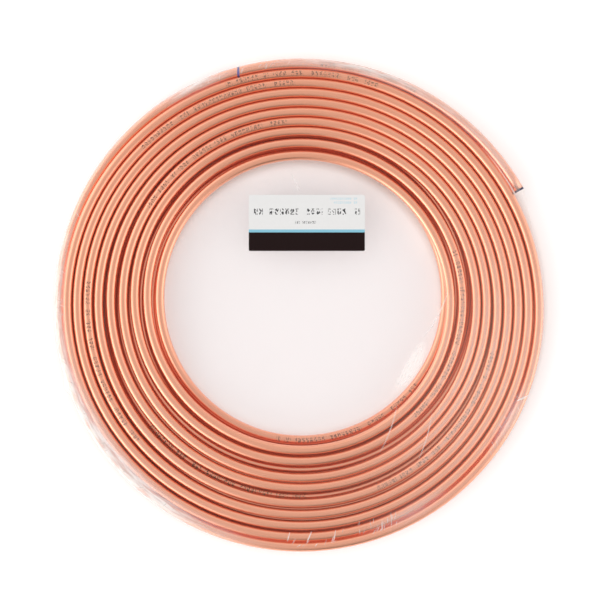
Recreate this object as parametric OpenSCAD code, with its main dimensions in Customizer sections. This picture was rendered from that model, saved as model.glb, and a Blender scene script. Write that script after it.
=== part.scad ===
// Flat coil of soft copper tube, wound in two layers, wrapped in clear film with a paper label.
// One tube runs inwards through the lower layer, climbs at the hole and runs outwards in the upper layer.
// Each layer is two half-round revolves with their middles half a pitch apart, so its turns join up.
// The film lies flat underneath, spans the hole, and rides over the upper turns in ridges.

/* [Tube] */
// Outside diameter of the copper tube
tube_d = 10; // [8:0.5:12]
// Wall of the copper tube
tube_wall = 0.7; // [0.5:0.05:1]
// Length over which the tube's own bore is open at each cut end
bore_depth = 30; // [20:1:50]

/* [Coil] */
// Outside diameter of the coil over its last full turn
coil_d = 511; // [480:1:600]
// Turns of each layer
turns = 10; // [5:1:12]
// Gap between neighbouring turns
turn_gap = 1.3; // [0.5:0.1:2.5]
// Gap between the lower and the upper layer
layer_gap = 0.2; // [0.1:0.05:1]
// Angle from +Y to the free end of the upper layer
upper_end_turn = 60; // [20:1:85]
// Angle from +Y to the free end of the lower layer
lower_end_turn = 15; // [15:1:85]
// How much wider than the last turn each free end is bent, on the radius
end_spring = 10; // [6:1:20]
// How far the climb between the layers keeps inside the hole
climb_in = 6; // [4:0.5:10]

/* [Plugs] */
// Thickness of a plug's flange
flange_t = 2; // [1:0.1:4]
// How far a plug's flange stays inside the tube's outside, all round
flange_inset = 0; // [0:0.1:0.5]
// Length of a plug's stem
stem_l = 14; // [8:1:18]
// Clearance of the stem in the tube's bore, all round
stem_clearance = 0.1; // [0.05:0.05:0.3]

/* [Film] */
// Thickness of the film
film_t = 0.2; // [0.15:0.05:0.5]
// Clearance between the film and the tubes under and over them
film_gap = 0.6; // [0.4:0.05:1]
// Clearance between the film and the coil's rim
rim_gap = 0.4; // [0.3:0.05:1]
// How far the film sinks in between the turns on the top
film_dip = 1; // [0.5:0.1:1.5]
// Rounding of the film's rims
film_corner = 1.5; // [1:0.1:3]

/* [Label] */
// Width of the label
label_w = 120; // [60:1:140]
// Height of the label
label_h = 58; // [30:1:90]
// Thickness of the label
label_t = 0.2; // [0.1:0.05:0.5]
// Thickness of the glue between the label and the film
label_glue = 0.05; // [0.02:0.01:0.2]
// Rounding of the label's corners
label_corner = 1.5; // [0.5:0.1:5]
// Place of the label's middle along +X from the coil's middle
label_x = 6; // [-20:1:20]
// Distance from the label's nearest corner to the innermost turn
label_gap = 12; // [4:1:40]

/* [Hidden] */
$fn = 96;
tube_r = tube_d / 2;
bore_d = tube_d - 2 * tube_wall;
flange_d = tube_d - 2 * flange_inset;
rim_r = coil_d / 2 - tube_r;
pitch = tube_d + turn_gap;
low_z = film_t + film_gap + tube_r;
high_z = low_z + tube_d + layer_gap;
mid_z = (low_z + high_z) / 2;
climb_rise = high_z - low_z;
climb_tilt = atan2(climb_rise, 2 * turn_r(1));
climb_y = turn_r(1) / cos(climb_tilt);
climb_r = norm([climb_y, climb_in]);
climb_start = 90 + atan2(climb_in, climb_y);
// The climb is drawn this much thinner and longer, so that its ends lie inside the turns they join
climb_thin = 0.2;
climb_lap = 0.5;
// Angle over which the top of the climb stands higher than the film between the turns
climb_cover = acos(1 - 2 * film_dip / climb_rise);
film_h = high_z + tube_r + film_gap + film_t;
film_flat = film_h - film_dip;
// The ridges over the turns are drawn from this far above the middles of the tubes
ridge_foot = tube_r - 2 * film_dip;
end_r = rim_r + end_spring;
upper_end_x = end_r * sin(upper_end_turn);
upper_end_y = end_r * cos(upper_end_turn) - end_spring;
end_reach = norm([upper_end_x, upper_end_y]);
// The film's middle lies between the rim and the upper free end, and it is the part's origin
film_shift = (end_reach - rim_r) / 2;
film_x = film_shift * upper_end_x / end_reach;
film_y = film_shift * upper_end_y / end_reach;
film_r = rim_r + film_shift + tube_r + rim_gap + film_t;
// The label keeps its corners clear of the turns round the hole
label_reach = turn_r(1) - tube_r - label_gap;
label_side = label_w / 2 + abs(label_x);
label_y = sqrt(max(0, label_reach * label_reach - label_side * label_side)) - label_h / 2;

// Radius of turn k on the half of a layer that is centred on the coil's middle
function turn_r(k) = rim_r - (turns - k) * pitch;
// Angle of a length along an arc
function arc_angle(length, r) = length / r * 180 / PI;
// Length of a free end from the last full turn to its cut
function end_length(turn) = turn * PI / 180 * end_r;

// Round bar bent to an arc about the origin, from one angle on
module bent_bar(d, r, from, angle)
    rotate_extrude(angle = angle, start = from)
        translate([r, 0])
            circle(d = d);

// Sections of the turns that one half of a layer cuts through
module turn_row(d, first_r, last_r)
    for (r = [first_r : pitch : last_r + tube_r])
        translate([r, 0])
            circle(d = d);

// Half of a layer centred on the coil's middle
module even_half(d, first, from)
    rotate_extrude(angle = 180, start = from)
        turn_row(d, turn_r(first), turn_r(turns));

// Half of a layer that leads each turn on into the next one
module odd_half(d, from)
    translate([0, -pitch / 2, 0])
        rotate_extrude(angle = 180, start = from)
            turn_row(d, turn_r(1) + pitch / 2, turn_r(turns) - pitch / 2);

// Half turn that climbs from the lower layer to the upper one at the hole
module climb() {
    from = climb_start - climb_lap;
    translate([climb_in, 0, mid_z])
        rotate([climb_tilt, 0, 0])
            bent_bar(tube_d - climb_thin, climb_r, from, 360 - 2 * from);
}

// Arc of a free end, measured back from its cut: the upper one on the +X side, the lower one on the other
module end_arc(d, turn, upper, past, back) {
    ahead = arc_angle(past, end_r);
    sweep = ahead + arc_angle(back, end_r);
    translate([0, -end_spring, upper ? high_z : low_z])
        bent_bar(d, end_r, upper ? 90 - turn - ahead : 90 + turn + ahead - sweep, sweep);
}

module tube_coil()
    color("#c8683c")
        translate([-film_x, -film_y, 0])
            difference() {
                union() {
                    translate([0, 0, high_z]) {
                        even_half(tube_d, 2, 90);
                        odd_half(tube_d, -90);
                    }
                    translate([0, 0, low_z]) {
                        even_half(tube_d, 1, -90);
                        odd_half(tube_d, 90);
                    }
                    climb();
                    end_arc(tube_d, upper_end_turn, true, 0, end_length(upper_end_turn));
                    end_arc(tube_d, lower_end_turn, false, 0, end_length(lower_end_turn));
                }
                end_arc(bore_d, upper_end_turn, true, tube_wall, bore_depth);
                end_arc(bore_d, lower_end_turn, false, tube_wall, bore_depth);
            }

// Plug in a free end: a flange against the cut tube and a stem in its bore
module plug(turn, upper)
    color("#20285a")
        translate([-film_x, -film_y, 0]) {
            end_arc(flange_d, turn, upper, flange_t, 0);
            end_arc(bore_d - 2 * stem_clearance, turn, upper, flange_t / 2, stem_l);
        }

module plug_upper_end()
    plug(upper_end_turn, true);

module plug_lower_end()
    plug(lower_end_turn, false);

// Half section of a round cushion with rounded rims
module rounded_half(r, h, corner) {
    square([r - corner, h]);
    translate([0, corner])
        square([r, h - 2 * corner]);
    for (z = [corner, h - corner])
        translate([r - corner, z])
            circle(corner);
}

// The part of a row of sections that stands above the ridges' foot
module ridge_row(d, first_r, last_r)
    intersection() {
        turn_row(d, first_r, last_r);
        translate([0, ridge_foot])
            square([last_r + tube_d, tube_d]);
    }

// Ridges of the film over the upper turns, over the top of the climb and over the upper free end
module ridges(d, past) {
    end_sweep = upper_end_turn + arc_angle(past, end_r);
    climb_sweep = climb_cover + arc_angle(past, climb_r);
    rotate_extrude(angle = 180, start = 90)
        ridge_row(d, turn_r(2), turn_r(turns));
    translate([0, -pitch / 2, 0])
        rotate_extrude(angle = 180, start = -90)
            ridge_row(d, turn_r(1) + pitch / 2, turn_r(turns) - pitch / 2);
    translate([climb_in, 0, 0])
        rotate_extrude(angle = climb_sweep, start = climb_start - climb_lap)
            ridge_row(d - climb_thin, climb_r, climb_r);
    translate([0, -end_spring, 0])
        rotate_extrude(angle = end_sweep, start = 90 - end_sweep)
            ridge_row(d, end_r, end_r);
}

// Closed form of the film's outside or inside
module wrap_form(inset) {
    grow = film_gap + film_t - inset;
    translate([0, 0, inset])
        rotate_extrude()
            rounded_half(film_r - inset, film_flat - 2 * inset, film_corner - inset);
    translate([-film_x, -film_y, high_z])
        ridges(tube_d + 2 * grow, flange_t + grow);
}

module shrink_film()
    color("#e8eef0", 0.3)
        difference() {
            wrap_form(0);
            wrap_form(film_t);
        }

module paper_label()
    color("#eceef0")
        translate([label_x - film_x, label_y - film_y, film_flat + label_glue])
            linear_extrude(label_t)
                union() {
                    square([label_w - 2 * label_corner, label_h], center = true);
                    square([label_w, label_h - 2 * label_corner], center = true);
                    for (x = [-1, 1], y = [-1, 1])
                        translate([x * (label_w / 2 - label_corner), y * (label_h / 2 - label_corner)])
                            circle(label_corner);
                }

tube_coil();
plug_upper_end();
plug_lower_end();
shrink_film();
paper_label();
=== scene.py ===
# %% [markdown]
# # Coil of copper tube in clear film
# A flat coil of soft copper tube lies on a pale floor, seen from straight above.
# One tube is wound in two layers, and a clear film with a paper label holds it together.
# The CAD part gives the frame: the places of the plugs and the label, and the box that every look stays in.

# %% Load the CAD frame
import math

import bpy
import numpy as np
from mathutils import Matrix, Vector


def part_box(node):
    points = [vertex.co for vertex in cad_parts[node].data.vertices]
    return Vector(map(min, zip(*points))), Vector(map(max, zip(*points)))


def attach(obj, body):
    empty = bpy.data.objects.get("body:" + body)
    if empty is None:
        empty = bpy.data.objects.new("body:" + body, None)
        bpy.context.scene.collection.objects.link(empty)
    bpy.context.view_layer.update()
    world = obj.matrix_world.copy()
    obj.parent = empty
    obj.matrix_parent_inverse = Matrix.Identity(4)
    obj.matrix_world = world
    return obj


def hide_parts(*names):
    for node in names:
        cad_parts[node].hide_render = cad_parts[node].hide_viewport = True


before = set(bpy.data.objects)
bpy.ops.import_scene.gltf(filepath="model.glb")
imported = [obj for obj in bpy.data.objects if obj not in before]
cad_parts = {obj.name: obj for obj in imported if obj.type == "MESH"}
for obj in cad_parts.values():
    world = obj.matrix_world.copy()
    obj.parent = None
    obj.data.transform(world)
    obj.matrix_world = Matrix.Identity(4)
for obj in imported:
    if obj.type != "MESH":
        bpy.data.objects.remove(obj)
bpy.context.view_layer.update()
coil_low, coil_high = (np.array(corner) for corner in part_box("tube_coil"))
film_low, _ = (np.array(corner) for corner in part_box("shrink_film"))
label_low, label_high = (np.array(corner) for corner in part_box("paper_label"))
PLEAT_SEED = 7
rng = np.random.default_rng(PLEAT_SEED)
print("coil from", np.round(coil_low, 4), "to", np.round(coil_high, 4), "m")

# %% [markdown]
# ## Where the tube runs
# A real coil is wound by hand round a drum, so its turns lie tight on one side and loose on the other.
# It could be drawn as a plain spiral, but then the dark gaps would be the same all round.
# So each half turn gets its radius where it starts, half-way and where it ends, and flows smoothly between.
# North is the far side of the coil and east its right side. The innermost turn comes first in each list.
# The lower turns lie under the gaps of the upper ones, so copper shows through every gap.
# At the left the outermost upper turn has slipped down beside the others, so it shows narrower there.

# %% Radii of the turns, in millimetres from the coil's middle
MM = 0.001
TUBE_R = 5.0 * MM
MIDDLE = (coil_low[:2] + coil_high[:2]) / 2
LOW_Z = coil_low[2] + TUBE_R
HIGH_Z = coil_high[2] - TUBE_R
NORTH_UPPER = [155.4, 168.2, 180.3, 190.4, 200.4, 210.4, 220.4, 230.4, 240.4, 250.5]
EAST_UPPER = [155.0, 167.3, 181.8, 192.4, 203.6, 214.4, 225.0, 235.7, 246.6]
SOUTH_UPPER = [None, 150.3, 161.9, 178.8, 189.4, 205.2, 217.0, 228.5, 239.9, 250.5]
WEST_UPPER = [146.3, 158.9, 172.2, 184.4, 197.2, 209.8, 221.0, 231.8, 242.4, 250.6]
NORTH_LOWER = [159.2, 169.3, 179.3, 189.3, 199.5, 209.9, 220.1, 230.2, 240.4, 250.5]
EAST_LOWER = [150.5, 160.7, 171.0, 181.1, 191.8, 202.3, 212.7, 222.9, 233.0, 243.0]
SOUTH_LOWER = [140.6, 150.6, 160.7, 171.0, 185.0, 199.0, 212.3, 223.3, 233.8, 243.9]
WEST_LOWER = [None, 154.8, 166.7, 177.6, 189.2, 199.9, 210.3, 220.4, 230.5, 240.6]
TURNS = len(NORTH_LOWER)
print("turns in a layer", TURNS, "heights of the layers", round(LOW_Z, 4), round(HIGH_Z, 4), "m")

# %% Half turns and free ends
END_SPRING = 10.0
END_R = NORTH_UPPER[-1] + END_SPRING


def half_turn(start_r, middle_r, end_r, angles):
    """Radius along a half turn that leaves and meets its neighbours with no kink."""
    a = np.radians(angles)
    side = middle_r - (start_r + end_r) / 2
    return (start_r + end_r) / 2 + (start_r - end_r) / 2 * np.cos(a) + side * np.sin(a) ** 2


def free_end(angles):
    """Radius and turn of a free end that springs outwards past the last full turn."""
    a = np.radians(angles)
    x = END_R * np.sin(a)
    y = END_R * np.cos(a) - END_SPRING
    return np.hypot(x, y), np.degrees(np.arctan2(x, y))


print("bend of a free end", END_R, "mm")

# %% [markdown]
# The path is walked clockwise from the lower cut end.
# It goes inwards through the lower layer, up at the hole and outwards through the upper layer.
# The climb takes a sixth of a turn, so the tube is up before it passes over the lower turn beside it.
# Angles count on over all turns, from zero at the far side of the lower layer's outermost turn.

# %% Walk the lower layer and the climb
STEPS = 60
LOWER_END, LOWER_END_POINTS = 15.0, 7
CLIMB_FROM, CLIMB_OVER = 30, 60
steps = np.arange(STEPS) / STEPS * 180
level = np.ones(STEPS)
radius, turned, height = [], [], []


def walk(r, t, z):
    """Go on along the path by points given by radius, angle and height."""
    radius.extend(r)
    turned.extend(t)
    height.extend(z)


r, t = free_end(np.linspace(LOWER_END, 0, LOWER_END_POINTS + 1)[:-1])
walk(r, -t, LOW_Z * np.ones(LOWER_END_POINTS))
for n in range(TURNS):
    k = TURNS - 1 - n
    east = half_turn(NORTH_LOWER[k], EAST_LOWER[k], SOUTH_LOWER[k], steps)
    walk(east, n * 360 + steps, LOW_Z * level)
    if k:
        west = half_turn(SOUTH_LOWER[k], WEST_LOWER[k], NORTH_LOWER[k - 1], steps)
        walk(west, n * 360 + 180 + steps, LOW_Z * level)
rise = np.clip((steps - CLIMB_FROM) / CLIMB_OVER, 0, 1)
rise = rise * rise * (3 - 2 * rise)
climb = half_turn(SOUTH_LOWER[0], WEST_UPPER[0], NORTH_UPPER[0], steps)
walk(climb, (TURNS - 1) * 360 + 180 + steps, LOW_Z + (HIGH_Z - LOW_Z) * rise)
print("points up to the top of the climb", len(radius))

# %% Walk the upper layer
OUTER_SAG = 6.6 * MM
UPPER_END, UPPER_END_POINTS = 60.0, 22
for k in range(TURNS - 1):
    base = (TURNS + k) * 360
    east = half_turn(NORTH_UPPER[k], EAST_UPPER[k], SOUTH_UPPER[k + 1], steps)
    west = half_turn(SOUTH_UPPER[k + 1], WEST_UPPER[k + 1], NORTH_UPPER[k + 1], steps)
    sag = OUTER_SAG * np.sin(np.radians(steps)) ** 2 if k == TURNS - 2 else 0
    walk(east, base + steps, HIGH_Z * level)
    walk(west, base + 180 + steps, HIGH_Z * level - sag)
r, t = free_end(np.linspace(0, UPPER_END, UPPER_END_POINTS))
walk(r, (2 * TURNS - 1) * 360 + t, HIGH_Z * np.ones(UPPER_END_POINTS))

radius = np.array(radius) * MM
turned = np.array(turned)
height = np.array(height)
heading = np.radians(90 - turned)
path_x = MIDDLE[0] + radius * np.cos(heading)
path_y = MIDDLE[1] + radius * np.sin(heading)
path = np.stack([path_x, path_y, height], 1)
run = np.concatenate([[0], np.cumsum(np.linalg.norm(np.diff(path, axis=0), axis=1))])
print("path points", len(path), "tube length", round(run[-1], 2), "m")

# %% [markdown]
# ## The tube
# The tube is drawn round, and it stays round when it is bent in such wide turns.
# A bevelled curve would do, but it can't turn in at its ends, so a ring of points is swept along the path.
# The tube is open at its cut ends, where the plugs sit.
# So the last rings turn in over the wall and down the bore.
# Each point keeps its place along the tube and round it, for the drawing lines and the ink.

# %% Mesh helpers
def make_mesh(name, verts, faces, smooth=True):
    """A new object in the scene from points and faces."""
    mesh = bpy.data.meshes.new(name)
    mesh.from_pydata([tuple(v) for v in verts], [], [tuple(f) for f in faces])
    mesh.polygons.foreach_set("use_smooth", [smooth] * len(mesh.polygons))
    mesh.update()
    obj = bpy.data.objects.new(name, mesh)
    bpy.context.scene.collection.objects.link(obj)
    return obj


def put_values(obj, name, values):
    """Keep one number on each point, for a material to read."""
    layer = obj.data.attributes.new(name, "FLOAT", "POINT")
    layer.data.foreach_set("value", np.asarray(values, np.float32))


# %% Rings of the tube, with its open ends
SIDES = 28
BORE_R = 4.3 * MM
BORE_DEEP = 20 * MM
LIP = 0.2 * MM
along = np.gradient(path, axis=0)
along /= np.linalg.norm(along, axis=1)[:, None]
side = np.cross(along, [0, 0, 1.0])
side /= np.linalg.norm(side, axis=1)[:, None]
up = np.cross(side, along)
last = len(path) - 1
first_deep = int(np.searchsorted(run, BORE_DEEP))
last_deep = int(np.searchsorted(run, run[-1] - BORE_DEEP))
stations = [(i, BORE_R) for i in range(first_deep, -1, -1)]
stations += [(0, TUBE_R - LIP)]
stations += [(i, TUBE_R) for i in range(last + 1)]
stations += [(last, TUBE_R - LIP)]
stations += [(i, BORE_R) for i in range(last, last_deep - 1, -1)]
print("rings", len(stations), "of", SIDES, "points")

# %% Sweep the tube
round_a = np.arange(SIDES) / SIDES * 2 * np.pi
round_up = np.cos(round_a)
round_side = np.sin(round_a)
spokes = round_up[None, :, None] * up[:, None] + round_side[None, :, None] * side[:, None]
tube_verts = np.concatenate([path[i] + r * spokes[i] for i, r in stations])
tube_faces = []
for i in range(len(stations) - 1):
    here, there = i * SIDES, (i + 1) * SIDES
    for j in range(SIDES):
        n = (j + 1) % SIDES
        tube_faces.append((here + j, here + n, there + n, there + j))
tube_faces.append(tuple(range(SIDES - 1, -1, -1)))
tube_faces.append(tuple((len(stations) - 1) * SIDES + j for j in range(SIDES)))
tube = make_mesh("copper_tube", tube_verts, tube_faces)
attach(tube, "root")
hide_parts("tube_coil")
print("tube triangles", sum(len(face) - 2 for face in tube_faces))

# %% [markdown]
# A line of small marks is printed along the tube now and then.
# A stroke of blue ink crosses the outer turn.
# The marks could be small meshes, but ink is flat, so only its place is kept for the material.
# Each pair gives the angles of the path between which a printed line runs.

# %% Values for the metal and its ink
PRINTED = [
    (6844, 6868), (6462, 6498), (6074, 6117), (4621, 4676), (5629, 5676),
    (1618, 1673), (3366, 3431), (5145, 5198), (4031, 4096),
]
BLUE_STROKE_AT = 6825
at = np.array([i for i, _ in stations])
has_print = np.zeros(len(path))
for first_turn, last_turn in PRINTED:
    has_print[(turned >= first_turn) & (turned <= last_turn)] = 1
blue_stroke_run = float(np.interp(BLUE_STROKE_AT, turned, run))
put_values(tube, "along_tube", np.repeat(run[at], SIDES))
put_values(tube, "printed", np.repeat(has_print[at], SIDES))
put_values(tube, "round_up", np.tile(round_up, len(stations)))
put_values(tube, "round_side", np.tile(round_side, len(stations)))
print("printed lines", len(PRINTED), "blue stroke at", round(blue_stroke_run, 3), "m")

# %% [markdown]
# ## The film
# Real shrink film is drawn tight by heat: it spans the hole, rides over the turns and folds round the rim.
# A cloth simulation could find that shape, but a tight skin round a flat coil is its convex outline.
# So the rim follows the hull of the tubes, the top rises over each turn, and pleats are added at the end.
# At the far left the film stands off like a small tent, so the hull gets one more point there.

# %% Outline of the tight film
FILM_GAP = 0.3 * MM
ROUND = TUBE_R + FILM_GAP
FLANGE_T = 2.4 * MM
TENT_A, TENT_R = 105.3, 257.4 * MM


def hull(points):
    """Convex outline of flat points, anticlockwise."""
    points = sorted(map(tuple, points))
    chains = []
    for ordered in (points, points[::-1]):
        chain = []
        for p in ordered:
            while len(chain) > 1:
                (ax, ay), (bx, by) = chain[-2], chain[-1]
                if (bx - ax) * (p[1] - ay) - (by - ay) * (p[0] - ax) > 0:
                    break
                chain.pop()
            chain.append(p)
        chains.append(chain[:-1])
    return np.array(chains[0] + chains[1])


def polar(angle, r):
    """Flat direction at an angle in degrees, times a radius."""
    return np.array([math.cos(math.radians(angle)), math.sin(math.radians(angle))]) * r


outer = (path[:, :2] - MIDDLE) * (1 + ROUND / radius)[:, None]
flange_tip = outer[-1] + along[-1, :2] * FLANGE_T
outline = hull(np.concatenate([outer, [flange_tip, polar(TENT_A, TENT_R)]]))
print("outline points", len(outline))

# %% Rim of the film by angle
AROUND = 240
NEARLY = 1e-9
film_angles = np.arange(AROUND) / AROUND * 360 - 180


def rim_at(angle):
    """How far the film reaches from the coil's middle at an angle."""
    d = polar(angle, 1.0)
    p = outline
    e = np.roll(outline, -1, axis=0) - outline
    cross = d[0] * e[:, 1] - d[1] * e[:, 0]
    with np.errstate(divide="ignore", invalid="ignore"):
        far = (p[:, 0] * e[:, 1] - p[:, 1] * e[:, 0]) / cross
        part = (p[:, 0] * d[1] - p[:, 1] * d[0]) / cross
    return far[(far > 0) & (part >= -NEARLY) & (part <= 1 + NEARLY)].max()


rim = np.array([rim_at(angle) for angle in film_angles])
print("film rim from", round(rim.min() / MM, 1), "to", round(rim.max() / MM, 1), "mm")

# %% Top of the film over the turns
LABEL_AIR = 0.03 * MM
FLOOR_AIR = 0.1 * MM
FLAT_Z = label_low[2] - LABEL_AIR
BOTTOM_Z = film_low[2] + FLOOR_AIR
upper_from = (TURNS - 1) * 360 + 180


def film_top(angle, r):
    """Height of the film's top: flat between the turns, and rising over the crest of each upper turn."""
    clockwise = (90 - angle) % 360
    turns_there = clockwise + 360 * np.arange(2 * TURNS)
    turns_there = turns_there[(turns_there >= upper_from) & (turns_there <= turned[-1])]
    off = np.atleast_1d(r)[:, None] - np.interp(turns_there, turned, radius)[None, :]
    bulge = np.sqrt(np.clip(ROUND ** 2 - off ** 2, 0, None))
    crest = np.interp(turns_there, turned, height)[None, :] + bulge
    return np.maximum(FLAT_Z, crest.max(axis=1))


print("film from", round(BOTTOM_Z, 4), "to", round(HIGH_Z + ROUND, 4), "m, flat at", round(FLAT_Z, 4), "m")

# %% Section of the film
CAP_R, HOLE_R, HOLE_STEP = 12 * MM, 140 * MM, 2 * MM
HOLE_POINTS, TURN_POINTS, BEND_POINTS, UNDER_POINTS = 16, 84, 6, 12


def section(angle, edge):
    """Points of the film from near the middle of its top, over the rim, to near its middle underneath."""
    over_hole = np.linspace(CAP_R, HOLE_R, HOLE_POINTS)
    over_turns = np.linspace(HOLE_R + HOLE_STEP, edge - ROUND, TURN_POINTS)
    flat = np.concatenate([over_hole, over_turns])
    tops = film_top(angle, flat)
    points = list(zip(flat, tops))
    bend = np.radians(np.linspace(0, 90, BEND_POINTS))
    for b in bend[1:]:
        points.append((edge - ROUND + ROUND * math.sin(b), HIGH_Z + (tops[-1] - HIGH_Z) * math.cos(b)))
    points.append((edge, (HIGH_Z + LOW_Z) / 2))
    for b in bend:
        points.append((edge - ROUND + ROUND * math.cos(b), max(BOTTOM_Z, LOW_Z - ROUND * math.sin(b))))
    points += [(r, BOTTOM_Z) for r in np.linspace(edge - ROUND, CAP_R, UNDER_POINTS)[1:]]
    return np.array(points)


sections = [section(angle, edge) for angle, edge in zip(film_angles, rim)]
rows = len(sections[0])
print("points in a section", rows)

# %% Skin of the film
film_verts, film_faces = [], []
for angle, points in zip(film_angles, sections):
    d = polar(angle, 1.0)
    film_verts += [(MIDDLE[0] + d[0] * r, MIDDLE[1] + d[1] * r, z) for r, z in points]
for i in range(AROUND):
    here, there = i * rows, (i + 1) % AROUND * rows
    film_faces += [(here + j, here + j + 1, there + j + 1, there + j) for j in range(rows - 1)]
film_faces.append(tuple(i * rows for i in range(AROUND)))
film_faces.append(tuple(i * rows + rows - 1 for i in range(AROUND - 1, -1, -1)))
skin_count = len(film_verts)
print("film skin points", skin_count)

# %% [markdown]
# The film's glare is painted as white haze: along the rim, and in a fan beside the hole.
# A painted picture could show that, but it would have to be stored beside the script.
# So each place is a soft spot round an angle and a radius, kept as a value on the film's points.
# At the right and the near left a little painted glare also lies on the crests of the turns.
# A thin veil of painted sheen lies over the right side.

# %% Painted glare on the skin
# Each spot of painted glare or sheen has a strength, then its angle and width in degrees, then its radius
# and depth in millimetres.
GLARE_SPOTS = [
    (1.60, -140, 24, 251, 8), (0.80, 180, 20, 253, 5), (0.35, 140, 18, 255, 4), (1.00, 116, 7, 254, 6),
    (0.90, 76, 21, 254, 6), (0.36, 42, 18, 256, 7), (0.45, -28, 6, 246, 5), (0.40, -2, 14, 254, 5),
    (0.25, -62, 9, 243, 7), (0.55, -29, 9, 131, 4),
]
# Painted glare on the crests of the turns, and painted sheen over the right side.
CREST_GLARE_SPOTS = [(0.22, -20, 45, 200, 70), (0.16, -135, 28, 205, 60)]
SHEEN_SPOTS = [(0.13, -25, 42, 200, 70)]
CREST_RISE = 0.45 * MM
skin = np.array(film_verts)
skin_flat = skin[:, :2] - MIDDLE
skin_r = np.hypot(skin_flat[:, 0], skin_flat[:, 1])
skin_a = np.degrees(np.arctan2(skin_flat[:, 1], skin_flat[:, 0]))
on_top = skin[:, 2] > (LOW_Z + HIGH_Z) / 2
on_crest = np.clip((skin[:, 2] - FLAT_Z) / CREST_RISE, 0, 1)


def spots(table):
    """Sum of soft spots on the film's top."""
    total = np.zeros(skin_count)
    for strength, angle, wide, r, deep in table:
        off = (skin_a - angle + 180) % 360 - 180
        total += strength * np.exp(-((off / wide) ** 2) - ((skin_r / MM - r) / deep) ** 2) * on_top
    return total


# The film's painted glare, and below it its painted sheen.
painted_glare = np.clip(spots(GLARE_SPOTS) + on_crest * spots(CREST_GLARE_SPOTS), 0, 1)
sheen_veil = spots(SHEEN_SPOTS)
print("milky points", int((painted_glare > 0.2).sum()))

# %% [markdown]
# Pleats are narrow folds that stand up a little from the skin, and they carry painted glare.
# A simulation could make them, but it seldom folds where a fold is wanted.
# So each pleat is a small roof from one place to another that thins out at its ends.

# %% Pleats
PLEAT_POINTS, PLEAT_TALL, PLEAT_TIP = 9, 0.35, 0.06
pleat_glare = []


def pleat(start, end, wide, tall, glint):
    """A roof-shaped pleat on the film's top between two places in degrees and millimetres."""
    first = len(film_verts)
    ways = np.linspace(0, 1, PLEAT_POINTS)
    a = start[0] + (end[0] - start[0]) * ways
    r = (start[1] + (end[1] - start[1]) * ways) * MM
    spine = np.array([MIDDLE + polar(ai, ri) for ai, ri in zip(a, r)])
    ahead = np.gradient(spine, axis=0)
    across = np.stack([-ahead[:, 1], ahead[:, 0]], 1) / np.linalg.norm(ahead, axis=1)[:, None]
    for i, way in enumerate(ways):
        thick = math.sin(math.pi * (PLEAT_TIP + (1 - 2 * PLEAT_TIP) * way))
        z = float(film_top(a[i], r[i])[0])
        half = across[i] * wide / 2 * MM * thick
        film_verts.append((*(spine[i] - half), z))
        film_verts.append((*spine[i], z + tall * MM * thick))
        film_verts.append((*(spine[i] + half), z))
        # The pleat's white is painted glare, brightest along its ridge.
        pleat_glare.extend([0.5 * glint, glint, 0.5 * glint])
    for i in range(PLEAT_POINTS - 1):
        q = first + 3 * i
        film_faces.append((q, q + 3, q + 4, q + 1))
        film_faces.append((q + 1, q + 4, q + 5, q + 2))


# Each pleat has its start, its end, its width in millimetres and how much painted glare it carries.
PLEATS = [
    ((-92.8, 234.9), (-93.3, 244.5), 1.3, 0.8),
    ((-87.3, 234.0), (-88.6, 245.4), 1.5, 0.9),
    ((-81.2, 234.9), (-82.2, 247.3), 1.3, 0.8),
    ((-21.6, 253.0), (-24.0, 243.9), 2.4, 0.9),
    ((5.9, 153.1), (-13.5, 132.1), 1.8, 0.5),
    ((-46.2, 143.2), (-61.7, 172.4), 1.4, 0.5),
    ((-39.5, 175.5), (-52.9, 201.0), 1.4, 0.5),
    ((94.0, 136.0), (91.0, 118.0), 0.9, 0.4),
]
for start, end, wide, glint in PLEATS:
    pleat(start, end, wide, PLEAT_TALL, glint)
print("pleats", len(PLEATS))

# %% [markdown]
# Besides the long pleats there are many short ones, fine as hairs, on the outer turns.
# They are strewn at random round a few places with a fixed seed, so every run gives the same ones.
# A small flap of the film's weld sticks out at the left, whitened by painted glare.

# %% Fine pleats
# Each group has its angle and spread in degrees, its lowest and highest radius, and how many pleats it has.
FINE_PLEATS = [
    (-70, 6, 231, 246, 24), (-86, 5, 240, 248, 6), (-27, 5, 238, 249, 10),
    (180, 11, 244, 251, 16), (218, 14, 242, 251, 14), (104, 10, 246, 251, 10),
]
FINE_TALL = 0.2
FINE_LEAN = (-0.7, 0.25)
FINE_LONG = (4, 10)
FINE_WIDE = (0.5, 0.9)
# Painted glare of the fine pleats.
FINE_GLINT = (0.35, 0.85)
for middle_a, spread, low_r, high_r, count in FINE_PLEATS:
    for _ in range(count):
        start = (rng.normal(middle_a, spread), rng.uniform(low_r, high_r))
        end_a = start[0] + rng.normal(*FINE_LEAN)
        end_r = min(start[1] + rng.uniform(*FINE_LONG), high_r + 2)
        pleat(start, (end_a, end_r), rng.uniform(*FINE_WIDE), FINE_TALL, rng.uniform(*FINE_GLINT))
print("fine pleats", sum(group[-1] for group in FINE_PLEATS))

# %% Flap and film
FLAP_A, FLAP_HALF, FLAP_OUT, FLAP_POINTS = 198.8, 2.6, 3.6, 9
FLAP_TOP, FLAP_DROP = 2, 3
FLAP_WAVE, FLAP_WAVES = 0.2, 5
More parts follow.
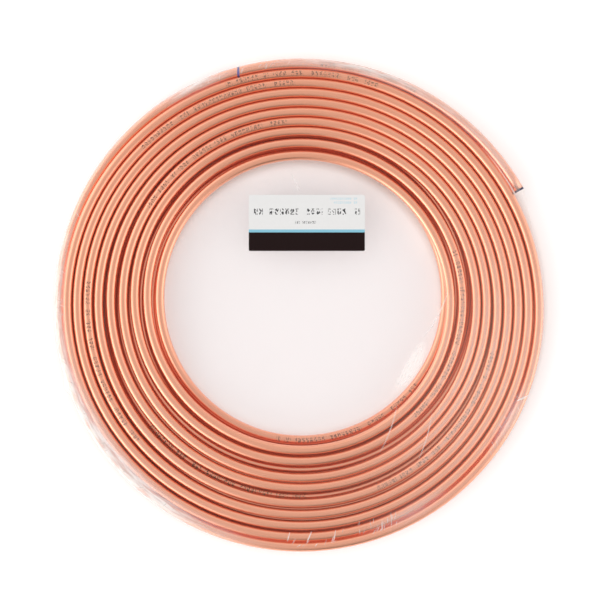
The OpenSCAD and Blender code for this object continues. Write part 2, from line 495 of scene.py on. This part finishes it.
# Painted glare of the flap, whiter towards its tip.
FLAP_GLARE, FLAP_TIP_GLARE = 0.45, 0.2
first = len(film_verts)
for way in np.linspace(-1, 1, FLAP_POINTS):
    angle = FLAP_A + FLAP_HALF * way
    edge = float(np.interp((angle + 180) % 360 - 180, film_angles, rim))
    out = FLAP_OUT * MM * (1 - way ** 2) * (1 + FLAP_WAVE * math.sin(FLAP_WAVES * way))
    for part in (0, 0.5, 1):
        z = HIGH_Z - (FLAP_TOP + FLAP_DROP * part) * MM
        film_verts.append((*(MIDDLE + polar(angle, edge + out * part)), z))
        pleat_glare.append(FLAP_GLARE + FLAP_TIP_GLARE * part)
for i in range(FLAP_POINTS - 1):
    for j in range(2):
        q = first + 3 * i + j
        film_faces.append((q, q + 1, q + 4, q + 3))
film = make_mesh("clear_film", film_verts, film_faces)
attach(film, "root")
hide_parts("shrink_film")
print("film triangles", sum(len(face) - 2 for face in film_faces))

# %% Values for the film
# Over the hole the film carries painted shade, fading out near the inner turns.
HOLE_EDGE, HOLE_FADE = 148 * MM, 10 * MM
everywhere = np.array(film_verts)[:, :2] - MIDDLE
film_r = np.hypot(everywhere[:, 0], everywhere[:, 1])
put_values(film, "painted_glare", np.concatenate([painted_glare, pleat_glare]))
put_values(film, "sheen_veil", np.concatenate([sheen_veil, np.zeros(len(pleat_glare))]))
put_values(film, "pleated", np.concatenate([np.zeros(skin_count), np.ones(len(pleat_glare))]))
put_values(film, "over_hole", np.clip((HOLE_EDGE - film_r) / HOLE_FADE, 0, 1))
put_values(film, "film_r", film_r)
put_values(film, "film_x", everywhere[:, 0] / np.maximum(film_r, MM))
put_values(film, "film_y", everywhere[:, 1] / np.maximum(film_r, MM))
print("film reaches", round(film_r.max() / MM, 1), "mm from the middle")

# %% [markdown]
# ## The label
# The label is a printed card: a dark band along its foot, a thin coloured rule above it and a pale field.
# It could be one picture, but plain areas stay sharp at any distance.
# So the card is a thin slab, and its top is cut into the three areas, each with a material of its own.

# %% Card and its printed areas
CARD_W, CARD_H = (label_high[:2] - label_low[:2]) / MM
CORNER, CORNER_POINTS = 1.5, 6
BAND_H, RULE_H = 19.2, 22.2
FIELD, RULE, BAND = 0, 1, 2
card_verts, card_faces, card_kind = [], [], []


def outline_of(y0, y1, round_low, round_high):
    """Points round an area as wide as the card, anticlockwise, with rounded lower or upper corners."""
    corners = [
        (CARD_W, y1, 0, round_high), (0, y1, 90, round_high),
        (0, y0, 180, round_low), (CARD_W, y0, 270, round_low),
    ]
    points = []
    for x, y, turn, rounded in corners:
        if rounded:
            middle = np.array([min(max(x, CORNER), CARD_W - CORNER), min(max(y, y0 + CORNER), y1 - CORNER)])
            bend = np.linspace(turn, turn + 90, CORNER_POINTS)
            points += [tuple(middle + polar(b, CORNER)) for b in bend]
        else:
            points.append((x, y))
    return points


def add_area(points, z, kind, flip=False):
    """A flat face of the card at a height, of one of the three kinds."""
    first = len(card_verts)
    card_verts.extend((label_low[0] + x * MM, label_low[1] + y * MM, z) for x, y in points)
    order = range(first, first + len(points))
    card_faces.append(tuple(reversed(order)) if flip else tuple(order))
    card_kind.append(kind)
    return first


add_area(outline_of(RULE_H, CARD_H, False, True), label_high[2], FIELD)
add_area(outline_of(BAND_H, RULE_H, False, False), label_high[2], RULE)
add_area(outline_of(0, BAND_H, True, False), label_high[2], BAND)
print("card", round(CARD_W, 1), "x", round(CARD_H, 1), "mm")

# %% Underside and edges of the card
whole = outline_of(0, CARD_H, True, True)
low_ring = add_area(whole, label_low[2], FIELD, flip=True)
high_ring = len(card_verts)
card_verts.extend((x, y, label_high[2]) for x, y, _ in card_verts[low_ring:high_ring])
for i in range(len(whole)):
    n = (i + 1) % len(whole)
    card_faces.append((low_ring + i, low_ring + n, high_ring + n, high_ring + i))
    card_kind.append(FIELD)
card = make_mesh("label_card", card_verts, card_faces, smooth=False)
card.data.polygons.foreach_set("material_index", card_kind)
put_values(card, "card_x", [(x - label_low[0]) / MM for x, _, _ in card_verts])
put_values(card, "card_y", [(y - label_low[1]) / MM for _, y, _ in card_verts])
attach(card, "root")
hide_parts("paper_label")
print("card faces", len(card_faces))

# %% [markdown]
# ## Materials
# Soft copper is drawn through a die, so it is a satin metal with fine lines along the tube.
# The film is clear plastic: all but invisible where it is tight, and milky where it is gathered.
# Plugs, card and print are plain plastics, paper and ink.
# Node trees can be drawn by hand in the editor, but a script is easier to read and to change.
# So short helpers each add one node and give back its output.

# %% Node helpers
def fill(tree, socket, value):
    """Set a socket to a number or colour, or link it."""
    if isinstance(value, bpy.types.NodeSocket):
        tree.links.new(value, socket)
    else:
        socket.default_value = value


def value_of(tree, name):
    """A number that is kept on the points of the mesh."""
    node = tree.nodes.new("ShaderNodeAttribute")
    node.attribute_name = name
    return node.outputs["Fac"]


def combine(tree, x, y, z):
    """A vector from three numbers."""
    node = tree.nodes.new("ShaderNodeCombineXYZ")
    for socket, value in zip(node.inputs, (x, y, z)):
        fill(tree, socket, value)
    return node.outputs[0]


def maths(tree, op, a, b=0.0, c=0.0, clamp=False):
    """One step of arithmetic."""
    node = tree.nodes.new("ShaderNodeMath")
    node.operation = op
    node.use_clamp = clamp
    for socket, value in zip(node.inputs, (a, b, c)):
        fill(tree, socket, value)
    return node.outputs[0]


def times(tree, a, b):
    """Product of two numbers."""
    return maths(tree, "MULTIPLY", a, b)


# %% Node helpers for textures and colours
def noise(tree, vector, scale=1.0, detail=2.0):
    """Soft noise at a place."""
    node = tree.nodes.new("ShaderNodeTexNoise")
    fill(tree, node.inputs["Scale"], scale)
    node.inputs["Detail"].default_value = detail
    tree.links.new(vector, node.inputs["Vector"])
    return node.outputs["Fac"]


def between(tree, value, low, high, to_low, to_high):
    """A number carried from one range to another, and held at its ends."""
    node = tree.nodes.new("ShaderNodeMapRange")
    ends = {"From Min": low, "From Max": high, "To Min": to_low, "To Max": to_high}
    fill(tree, node.inputs["Value"], value)
    for name, end in ends.items():
        fill(tree, node.inputs[name], end)
    return node.outputs[0]


def blend(tree, value, low, high):
    """A colour between two colours."""
    node = tree.nodes.new("ShaderNodeMix")
    node.data_type = "RGBA"
    sockets = [s for s in node.inputs if s.type == "RGBA"]
    fill(tree, node.inputs[0], value)
    for socket, colour in zip(sockets, (low, high)):
        fill(tree, socket, colour if isinstance(colour, bpy.types.NodeSocket) else (*colour, 1))
    return [s for s in node.outputs if s.type == "RGBA"][0]


def new_material(name):
    """A material with its node tree and its shader."""
    mat = bpy.data.materials.new(name)
    mat.use_nodes = True
    return mat, mat.node_tree, mat.node_tree.nodes["Principled BSDF"]


def add_bump(tree, shader, value, strength, distance):
    """Let a number raise the surface a little."""
    bump = tree.nodes.new("ShaderNodeBump")
    bump.inputs["Strength"].default_value = strength
    bump.inputs["Distance"].default_value = distance
    tree.links.new(value, bump.inputs["Height"])
    tree.links.new(bump.outputs["Normal"], shader.inputs["Normal"])


# %% [markdown]
# Two effects are used by several materials, so each is a node group that is built once.
# One is the fine, slightly uneven surface of paper, plastic and ink.
# The other is small print: rows of broken strokes that look printed from afar and spell nothing.

# %% Group for a fine, uneven surface
NOISE_LOW, NOISE_HIGH = 0.3, 0.7


def new_group(name, inputs, outputs):
    """A node group with its inputs and outputs."""
    group = bpy.data.node_groups.new(name, "ShaderNodeTree")
    for way, sockets in (("INPUT", inputs), ("OUTPUT", outputs)):
        for label, kind in sockets:
            group.interface.new_socket(label, in_out=way, socket_type=f"NodeSocket{kind}")
    return group, group.nodes.new("NodeGroupInput").outputs, group.nodes.new("NodeGroupOutput").inputs


fine_surface, given, result = new_group(
    "fine_surface",
    [("Low", "Color"), ("High", "Color"), ("Scale", "Float"), ("Smooth", "Float"), ("Dull", "Float")],
    [("Tone", "Color"), ("Roughness", "Float"), ("Height", "Float")],
)
place = fine_surface.nodes.new("ShaderNodeTexCoord").outputs["Object"]
grain = noise(fine_surface, place, given["Scale"], 3.0)
grain_tone = blend(fine_surface, grain, given["Low"], given["High"])
grain_gloss = between(fine_surface, grain, NOISE_LOW, NOISE_HIGH, given["Smooth"], given["Dull"])
fine_surface.links.new(grain_tone, result["Tone"])
fine_surface.links.new(grain_gloss, result["Roughness"])
fine_surface.links.new(grain, result["Height"])
print("group", fine_surface.name, "nodes", len(fine_surface.nodes))

# %% Group for small print
STROKES_ALONG, STROKES_ACROSS = 3.6, 2.6
LETTERS_ALONG, LETTER_SHARE = 1.15, 0.7
WORDS_ALONG, WORD_ROW = 0.5, 7.0
print_marks, given, result = new_group(
    "print_marks", [("Along", "Float"), ("Across", "Float"), ("Size", "Float")], [("Mask", "Float")]
)
in_row = maths(print_marks, "DIVIDE", given["Along"], given["Size"])
off_row = maths(print_marks, "DIVIDE", given["Across"], given["Size"])
stroke_x = times(print_marks, in_row, STROKES_ALONG)
stroke_y = times(print_marks, off_row, STROKES_ACROSS)
strokes = noise(print_marks, combine(print_marks, stroke_x, stroke_y, 0.0), 1.0, 0.0)
strokes = between(print_marks, strokes, 0.46, 0.54, 0.0, 1.0)
letters = maths(print_marks, "FRACT", times(print_marks, in_row, LETTERS_ALONG))
letters = maths(print_marks, "LESS_THAN", letters, LETTER_SHARE)
word_place = combine(print_marks, times(print_marks, in_row, WORDS_ALONG), WORD_ROW, 0.0)
words = between(print_marks, noise(print_marks, word_place, 1.0, 0.0), 0.40, 0.44, 0.0, 1.0)
row = maths(print_marks, "LESS_THAN", maths(print_marks, "ABSOLUTE", off_row), 0.5)
strokes = times(print_marks, strokes, letters)
marks = times(print_marks, strokes, times(print_marks, words, row))
print_marks.links.new(marks, result["Mask"])


def place_group(tree, group, **values):
    """Place a group in a material with its own values."""
    node = tree.nodes.new("ShaderNodeGroup")
    node.node_tree = group
    for name, value in values.items():
        fill(tree, node.inputs[name], value)
    return node.outputs


print("group", print_marks.name, "nodes", len(print_marks.nodes))

# %% [markdown]
# The copper's tone changes slowly along the tube, and its gloss and height follow fine drawing lines.
# A picture of brushed metal would stretch round the bends, so noise is laid out along and round the tube.
# A thin clear coat over it gives the whiter shine that a flank shows where it faces the light.
# Ink isn't metal, so both the printed lines and the blue stroke take the metal away where they lie.

# %% Tone and lines of the copper
COPPER_LOW, COPPER_HIGH = (0.990, 0.42, 0.262), (0.999, 0.465, 0.30)
SATIN_LOW, SATIN_HIGH = 0.24, 0.32
LINES_ALONG, LINES_ROUND, LINE_SCALE = 1.5, 9.0, 2.2
LINE_STRENGTH, LINE_DEEP = 0.10, 0.4 * MM
TONE_ALONG = 6.0
COAT_WEIGHT, COAT_ROUGH = 0.8, 0.25
copper, tree, shader = new_material("soft_copper")
run_m = value_of(tree, "along_tube")
up_part, side_part = value_of(tree, "round_up"), value_of(tree, "round_side")
line_run = times(tree, run_m, LINES_ALONG)
line_up, line_side = times(tree, up_part, LINES_ROUND), times(tree, side_part, LINES_ROUND)
lines = noise(tree, combine(tree, line_run, line_up, line_side), LINE_SCALE, 3.0)
tone = noise(tree, combine(tree, times(tree, run_m, TONE_ALONG), up_part, side_part), 1.0, 2.0)
metal = blend(tree, tone, COPPER_LOW, COPPER_HIGH)
satin = between(tree, lines, NOISE_LOW, NOISE_HIGH, SATIN_LOW, SATIN_HIGH)
add_bump(tree, shader, lines, LINE_STRENGTH, LINE_DEEP)
shader.inputs["Coat Weight"].default_value = COAT_WEIGHT
shader.inputs["Coat Roughness"].default_value = COAT_ROUGH
tube.data.materials.append(copper)
print("copper from", COPPER_LOW, "to", COPPER_HIGH)

# %% Ink on the copper
TUBE_INK, STROKE_INK, INK_ROUGH = (0.15, 0.055, 0.03), (0.055, 0.04, 0.30), 0.5
INK_COVER = 0.85
MARK_SIZE = 4.8
STROKE_SLANT, STROKE_HALF = 1.3 * MM, 1.2 * MM
run_mm, side_mm = times(tree, run_m, 1 / MM), times(tree, side_part, TUBE_R / MM)
marks = place_group(tree, print_marks, Along=run_mm, Across=side_mm, Size=MARK_SIZE)["Mask"]
upper_side = maths(tree, "GREATER_THAN", up_part, 0.1)
printed = maths(tree, "GREATER_THAN", value_of(tree, "printed"), 0.5)
marks = times(tree, marks, times(tree, upper_side, printed))
slanted = maths(tree, "MULTIPLY_ADD", side_part, STROKE_SLANT, run_m)
stroke = maths(tree, "COMPARE", slanted, blue_stroke_run, STROKE_HALF)
stroke = times(tree, upper_side, stroke)
inked = times(tree, marks, INK_COVER)
colour = blend(tree, stroke, blend(tree, inked, metal, TUBE_INK), STROKE_INK)
bare = maths(tree, "SUBTRACT", 1.0, maths(tree, "MAXIMUM", inked, stroke))
tree.links.new(colour, shader.inputs["Base Color"])
tree.links.new(bare, shader.inputs["Metallic"])
tree.links.new(between(tree, bare, 0.0, 1.0, INK_ROUGH, satin), shader.inputs["Roughness"])
print("copper nodes", len(tree.nodes))

# %% [markdown]
# The plugs are moulded plastic, and the card is coated paper. Both look plain but are never quite even.
# A single flat colour would look dead, so the fine surface changes their tone, gloss and height a little.

# %% Plugs
PLUG_LOW, PLUG_HIGH = (0.010, 0.012, 0.055), (0.016, 0.018, 0.075)


def fine_material(name, low, high, scale, smooth, dull, strength):
    """A plain surface whose tone, gloss and height change a little from place to place."""
    mat, tree, shader = new_material(name)
    ends = {"Low": (*low, 1), "High": (*high, 1), "Scale": scale, "Smooth": smooth, "Dull": dull}
    made = place_group(tree, fine_surface, **ends)
    tree.links.new(made["Tone"], shader.inputs["Base Color"])
    tree.links.new(made["Roughness"], shader.inputs["Roughness"])
    add_bump(tree, shader, made["Height"], strength, 0.1 * MM)
    return mat, tree, shader, made["Tone"]


plug_plastic = fine_material("plug_plastic", PLUG_LOW, PLUG_HIGH, 500, 0.4, 0.55, 0.1)[0]
for name in ("plug_upper_end", "plug_lower_end"):
    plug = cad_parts[name]
    plug.data.materials.clear()
    plug.data.materials.append(plug_plastic)
print("plugs from", PLUG_LOW, "to", PLUG_HIGH)

# %% Paper and print of the card
PAPER_LOW, PAPER_HIGH = (0.80, 0.797, 0.795), (0.84, 0.837, 0.835)
RULE_LOW, RULE_HIGH = (0.22, 0.54, 0.68), (0.26, 0.58, 0.72)
BAND_LOW, BAND_HIGH = (0.010, 0.003, 0.003), (0.014, 0.005, 0.005)
DARK_INK, BLUE_INK = (0.03, 0.03, 0.035), (0.45, 0.68, 0.78)
# Each printed row has its left and right end, its middle, its height and its ink.
PRINT_ROWS = [
    (5.0, 115.0, 40.7, 6.2, DARK_INK), (48.0, 70.0, 29.6, 2.6, DARK_INK),
    (84.0, 112.0, 54.0, 2.4, BLUE_INK), (88.0, 112.0, 50.0, 2.4, BLUE_INK),
]
card_field, tree, shader, paper = fine_material("card_field", PAPER_LOW, PAPER_HIGH, 300, 0.5, 0.65, 0.1)
card_x, card_y = value_of(tree, "card_x"), value_of(tree, "card_y")
for from_x, to_x, middle_y, size, ink in PRINT_ROWS:
    across = maths(tree, "SUBTRACT", card_y, middle_y)
    marks = place_group(tree, print_marks, Along=card_x, Across=across, Size=size)["Mask"]
    inside = maths(tree, "COMPARE", card_x, (from_x + to_x) / 2, (to_x - from_x) / 2)
    paper = blend(tree, times(tree, marks, inside), paper, ink)
tree.links.new(paper, shader.inputs["Base Color"])
card_rule = fine_material("card_rule", RULE_LOW, RULE_HIGH, 300, 0.45, 0.6, 0.05)[0]
card_band, _, shader, _ = fine_material("card_band", BAND_LOW, BAND_HIGH, 300, 0.45, 0.6, 0.05)
shader.inputs["Specular IOR Level"].default_value = 0.12
for mat in (card_field, card_rule, card_band):
    card.data.materials.append(mat)
print("rows of print on the card", len(PRINT_ROWS))

# %% [markdown]
# Real film lets nearly all light through.
# Glass with refraction could show that, but it is slow and bends the turns under it.
# So the film is a thin see-through plastic, and its alpha says how much of it is seen.
# The painted glare is broken up by streaks that run round the coil. Over the hole the film is seen twice,
# and there it is also drawn darker and pinker as painted shade with painted red bounce light from the
# copper.

# %% Clear film
# The hole tone is painted shade with painted red bounce light, the glare tone is painted glare, and the
# film's faint tone also tints its painted sheen.
FILM_AND_SHEEN_TONE, HOLE_SHADE_TONE, GLARE_TONE = (0.97, 0.66, 0.50), (0.48, 0.29, 0.30), (1.0, 0.96, 0.93)
TIGHT_ALPHA, HOLE_SHADE_ALPHA, GLARE_ALPHA = 0.026, 0.078, 0.85
STREAKS_ROUND, STREAKS_OUT = 14.0, 500.0
STREAK_LOW, STREAK_HIGH, STREAK_LEAST = 0.36, 0.62, 0.55
clear, tree, shader = new_material("clear_film")
streak_x = times(tree, value_of(tree, "film_x"), STREAKS_ROUND)
streak_y = times(tree, value_of(tree, "film_y"), STREAKS_ROUND)
streak_r = times(tree, value_of(tree, "film_r"), STREAKS_OUT)
streaks = noise(tree, combine(tree, streak_x, streak_y, streak_r), 1.0, 4.0)
streaks = between(tree, streaks, STREAK_LOW, STREAK_HIGH, STREAK_LEAST, 1.0)
streaks = maths(tree, "MAXIMUM", streaks, value_of(tree, "pleated"))
# Painted glare, broken up by the streaks.
streaked_glare = times(tree, value_of(tree, "painted_glare"), streaks)
over_hole = value_of(tree, "over_hole")
# The hole alpha adds painted shade over the hole, and the sheen veil adds painted sheen.
thin = maths(tree, "MULTIPLY_ADD", over_hole, HOLE_SHADE_ALPHA, TIGHT_ALPHA)
thin = maths(tree, "ADD", thin, value_of(tree, "sheen_veil"))
alpha = maths(tree, "MULTIPLY_ADD", streaked_glare, GLARE_ALPHA, thin, clamp=True)
sheen_and_hole_shade = blend(tree, over_hole, FILM_AND_SHEEN_TONE, HOLE_SHADE_TONE)
film_tone = blend(tree, between(tree, streaked_glare, 0.0, 0.12, 0.0, 1.0), sheen_and_hole_shade, GLARE_TONE)
tree.links.new(alpha, shader.inputs["Alpha"])
tree.links.new(between(tree, streaked_glare, 0.0, 0.3, 0.10, 0.40), shader.inputs["Roughness"])
tree.links.new(film_tone, shader.inputs["Base Color"])
film.data.materials.append(clear)
print("materials", [m.name for m in bpy.data.materials])

# %% [markdown]
# ## Floor, light and camera
# The coil lies on a white table. The floor is a plain white plane that keeps the coil's shadow.
# More light would make it white too, but would bleach the copper.
# So it is lifted to white by a little glow, which is there for the eye and in reflections only.
# Right under the turns, where no light comes, there is hardly any of it, so the gaps stay deep.

# %% Floor
FLOOR_SIZE = 30
FLOOR_WHITE = (0.9, 0.9, 0.9, 1)
FLOOR_LIFT, GAP_LIFT = 0.30, 0.025
RING_MIDDLE, RING_HALF, RING_FADE = 200 * MM, 50 * MM, 8 * MM
bpy.ops.mesh.primitive_plane_add(size=FLOOR_SIZE, location=(0, 0, 0))
floor = bpy.context.active_object
floor.name = "floor"
white, tree, shader = new_material("white_floor")
shader.inputs["Roughness"].default_value = 0.9
shader.inputs["Base Color"].default_value = FLOOR_WHITE
shader.inputs["Emission Color"].default_value = (1, 1, 1, 1)
rays = tree.nodes.new("ShaderNodeLightPath").outputs
seen = maths(tree, "MAXIMUM", rays["Is Glossy Ray"], rays["Is Transmission Ray"])
seen = maths(tree, "MAXIMUM", seen, rays["Is Camera Ray"])
apart = tree.nodes.new("ShaderNodeVectorMath")
apart.operation = "DISTANCE"
tree.links.new(tree.nodes.new("ShaderNodeTexCoord").outputs["Object"], apart.inputs[0])
apart.inputs[1].default_value = (*MIDDLE, 0)
from_ring = maths(tree, "ABSOLUTE", maths(tree, "SUBTRACT", apart.outputs["Value"], RING_MIDDLE))
lift = between(tree, from_ring, RING_HALF, RING_HALF + RING_FADE, GAP_LIFT, FLOOR_LIFT)
tree.links.new(times(tree, seen, lift), shader.inputs["Emission Strength"])
floor.data.materials.append(white)
print("floor lift", FLOOR_LIFT, "and under the turns", GAP_LIFT)

# %% [markdown]
# Lamps with soft boxes would do, but their edges show in the round tubes. So the light is one smooth sky.
# It is brighter low at the left and the right, and darker at the near side.
# So each turn carries pale lines on its flanks, and is dimmer where it faces the front.
# Each side of the sky has a direction, a gain and a focus: a higher focus makes it narrower.
# Light between two turns bounces many times from copper to copper and comes back red.
# So many bounces are kept.

# %% Light
OVERHEAD = 0.70
LIGHT_SIDES = [
    ((-0.76, -0.62, 0.18), 2.60, 7.0), ((-0.94, 0.32, 0.15), 1.35, 5.0), ((0.96, -0.25, 0.15), 1.50, 6.0),
    ((0.10, 0.98, 0.20), 0.22, 4.0), ((0.15, -0.97, 0.20), -0.60, 4.5),
]
BOUNCES = 24
world = bpy.data.worlds.new("studio")
bpy.context.scene.world = world
world.use_nodes = True
tree = world.node_tree
sky = tree.nodes["Background"]
toward = tree.nodes.new("ShaderNodeTexCoord").outputs["Generated"]
strength = OVERHEAD
for way, gain, focus in LIGHT_SIDES:
    dot = tree.nodes.new("ShaderNodeVectorMath")
    dot.operation = "DOT_PRODUCT"
    tree.links.new(toward, dot.inputs[0])
    dot.inputs[1].default_value = way
    lobe = maths(tree, "POWER", maths(tree, "MAXIMUM", dot.outputs["Value"], 0.0), focus)
    strength = maths(tree, "MULTIPLY_ADD", lobe, gain, strength)
tree.links.new(strength, sky.inputs["Strength"])
sky.inputs["Color"].default_value = (1.0, 0.99, 0.98, 1)
bpy.context.scene.cycles.max_bounces = BOUNCES
bpy.context.scene.cycles.glossy_bounces = BOUNCES
print("sides of the sky", len(LIGHT_SIDES))

# %% [markdown]
# The coil is seen from straight above.
# A wide lens close by would show more of the turns' flanks on one side than on the other.
# So a long lens looks down from high up, and its height follows from the width that it takes in.

# %% Camera
FRAME_W = 0.6218
AIM_OFF = np.array([-1.04, 5.39]) * MM
LENS, SENSOR = 120, 36
camera = bpy.data.cameras.new("camera")
camera.lens = LENS
camera.sensor_width = SENSOR
eye = bpy.data.objects.new("camera", camera)
bpy.context.scene.collection.objects.link(eye)
eye.location = (*(MIDDLE + AIM_OFF), HIGH_Z + FRAME_W * LENS / SENSOR)
bpy.context.scene.camera = eye
bpy.context.scene.view_settings.view_transform = "Standard"
print("camera at", [round(v, 4) for v in eye.location])
